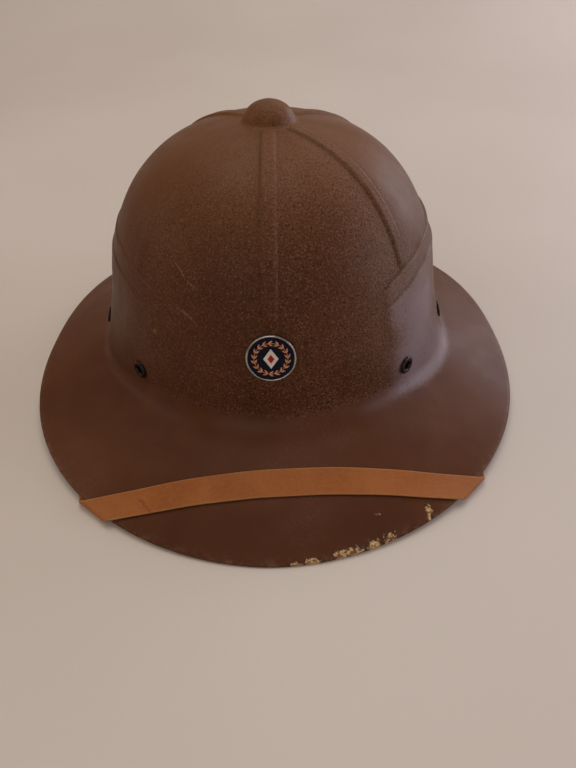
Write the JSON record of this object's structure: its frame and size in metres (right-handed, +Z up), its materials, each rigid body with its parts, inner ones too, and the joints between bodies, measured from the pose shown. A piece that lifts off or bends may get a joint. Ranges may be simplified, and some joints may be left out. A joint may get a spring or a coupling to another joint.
{
  "type": "pith helmet",
  "caption": "Pith helmet of pressed fibre with a moulded knob, ribs and pleats, a flared brim, dark eyelets, a round badge and a leather chin strap across the brim.",
  "frame": {"origin": "on the surface that the hat rests on, under the middle of the brim's length and width", "axes": "+Z up through the knob; -Y is the front, with the badge; +X is the wearer's left, the right side seen from the front"},
  "size_m": [0.2794, 0.328, 0.1468],
  "materials": {
    "painted_fibre": "dark brown satin paint over pressed fibre, grainy on the crown and smooth on the brim",
    "strap_leather": "smooth tan leather with paler cut edges",
    "eyelet_metal": "black japanned metal, worn at the edge",
    "badge_metal": "silver-coloured metal, lightly tarnished",
    "navy_enamel": "glossy navy enamel",
    "copper_enamel": "glossy copper-orange enamel",
    "cream_enamel": "glossy cream enamel",
    "post_steel": "plain bright steel"
  },
  "bodies": {
    "root": {"shell": "painted_fibre", "chin_strap": "strap_leather", "badge_body": "badge_metal", "badge_field": "navy_enamel", "badge_wreath": "copper_enamel", "badge_lozenge": "cream_enamel", "strap_post_right": "post_steel", "strap_post_left": "post_steel", "eyelet_front_right": "eyelet_metal", "eyelet_side_right": "eyelet_metal", "eyelet_rear_right": "eyelet_metal", "eyelet_rear_left": "eyelet_metal", "eyelet_side_left": "eyelet_metal", "eyelet_front_left": "eyelet_metal"}
  },
  "joints": []
}
